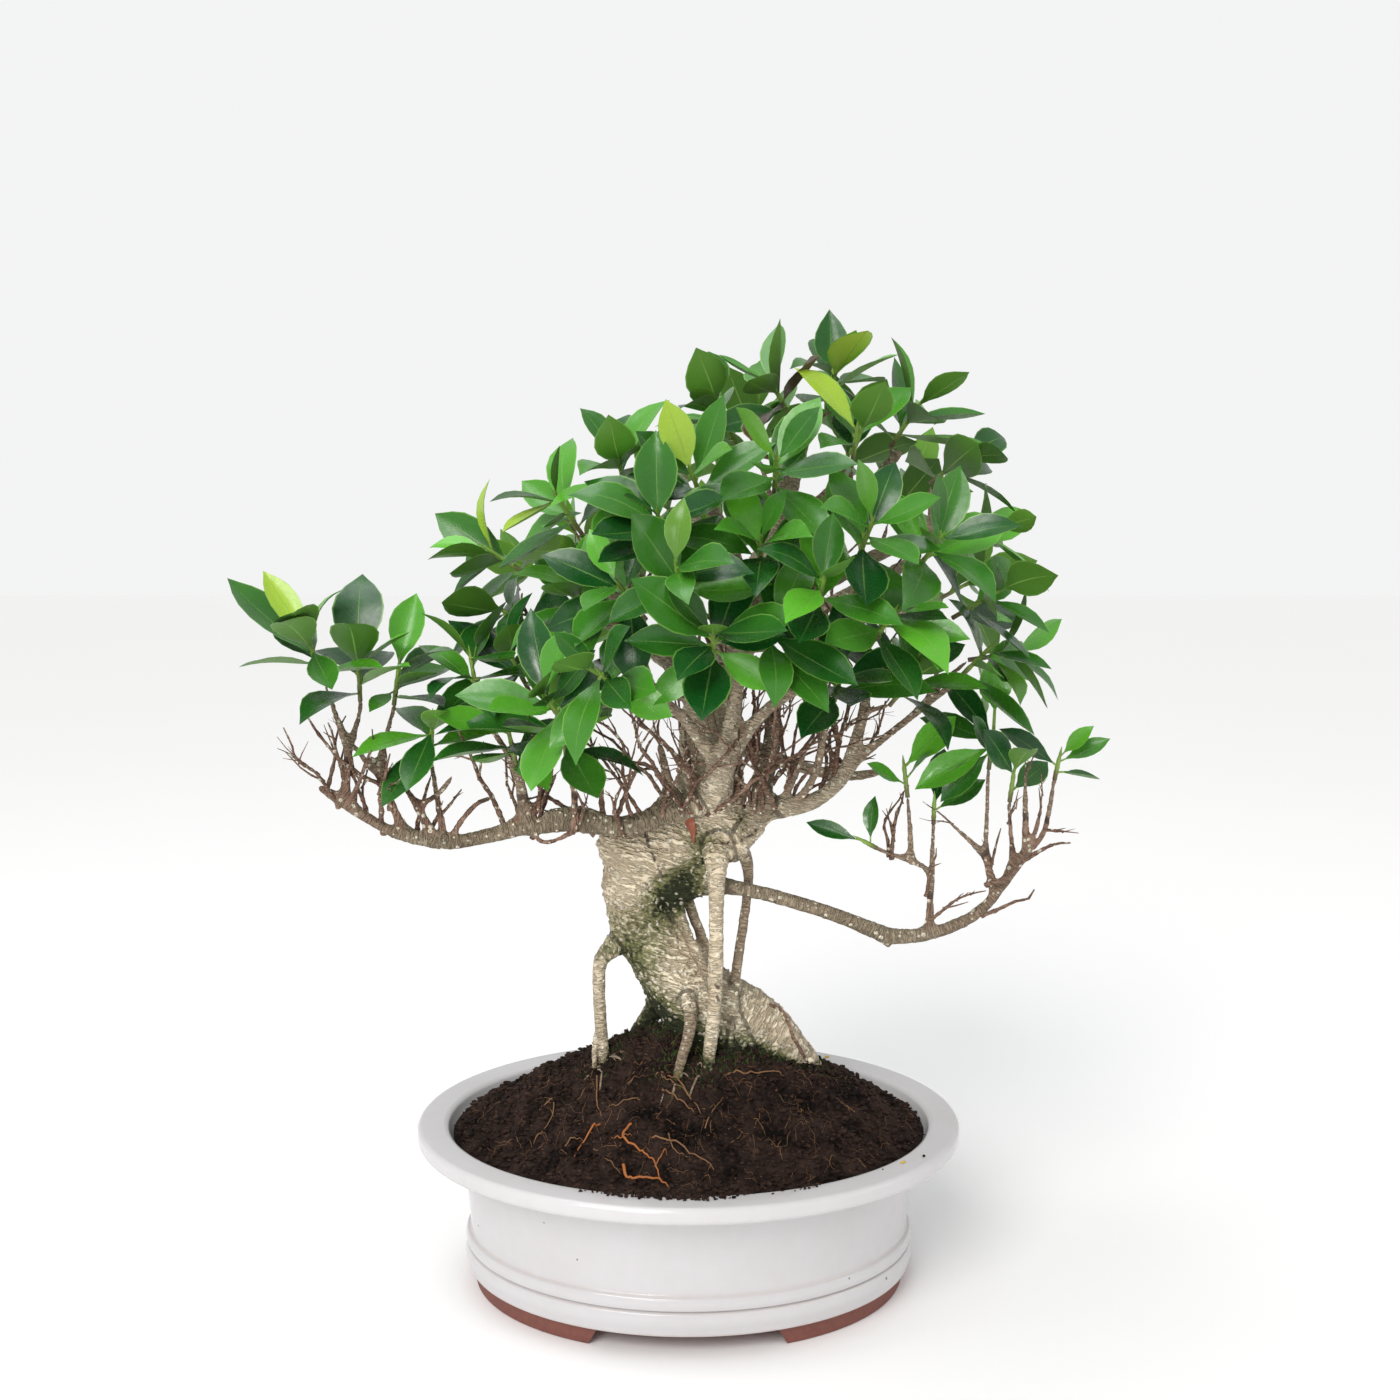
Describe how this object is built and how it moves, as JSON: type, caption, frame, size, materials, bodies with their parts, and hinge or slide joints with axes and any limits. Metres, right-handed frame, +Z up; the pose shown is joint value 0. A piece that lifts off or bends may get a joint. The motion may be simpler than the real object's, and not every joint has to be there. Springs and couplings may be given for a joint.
{
  "type": "chinese banyan bonsai",
  "caption": "Ficus bonsai with a bent trunk, aerial roots and leafy shoots, planted in soil in an oval glazed pot with two drainage holes.",
  "frame": {"origin": "middle of the whole plant's footprint, on the plane that the pot's feet rest on", "axes": "+Z up, the pot's long axis along X, the side seen in the picture towards -Y"},
  "size_m": [0.5568, 0.3559, 0.6381],
  "materials": {
    "glaze": "gloss",
    "soil": "matte",
    "drain_mesh": "matte",
    "bark": "matte",
    "leaf": "gloss"
  },
  "bodies": {
    "root": {"pot": "glaze", "soil": "soil", "mesh_left": "drain_mesh", "mesh_right": "drain_mesh", "wood": "bark", "shoot_01": "leaf", "shoot_02": "leaf", "shoot_03": "leaf", "shoot_04": "leaf", "shoot_05": "leaf", "shoot_06": "leaf", "shoot_07": "leaf", "shoot_08": "leaf", "shoot_09": "leaf", "shoot_10": "leaf", "shoot_11": "leaf", "shoot_12": "leaf", "shoot_13": "leaf", "shoot_14": "leaf", "shoot_15": "leaf", "shoot_16": "leaf", "shoot_17": "leaf", "shoot_18": "leaf", "shoot_19": "leaf", "shoot_20": "leaf", "shoot_21": "leaf", "shoot_22": "leaf", "shoot_23": "leaf", "shoot_24": "leaf", "shoot_25": "leaf", "shoot_26": "leaf", "shoot_27": "leaf", "shoot_28": "leaf", "shoot_29": "leaf", "shoot_30": "leaf", "shoot_31": "leaf", "shoot_32": "leaf", "shoot_33": "leaf", "shoot_34": "leaf", "shoot_35": "leaf", "shoot_36": "leaf", "shoot_37": "leaf", "shoot_38": "leaf", "shoot_39": "leaf", "shoot_40": "leaf", "shoot_41": "leaf", "shoot_42": "leaf", "shoot_43": "leaf", "shoot_44": "leaf", "shoot_45": "leaf", "shoot_46": "leaf", "shoot_47": "leaf", "shoot_48": "leaf", "shoot_49": "leaf", "shoot_50": "leaf", "shoot_51": "leaf", "shoot_52": "leaf", "shoot_53": "leaf", "shoot_54": "leaf", "shoot_55": "leaf"}
  },
  "joints": []
}
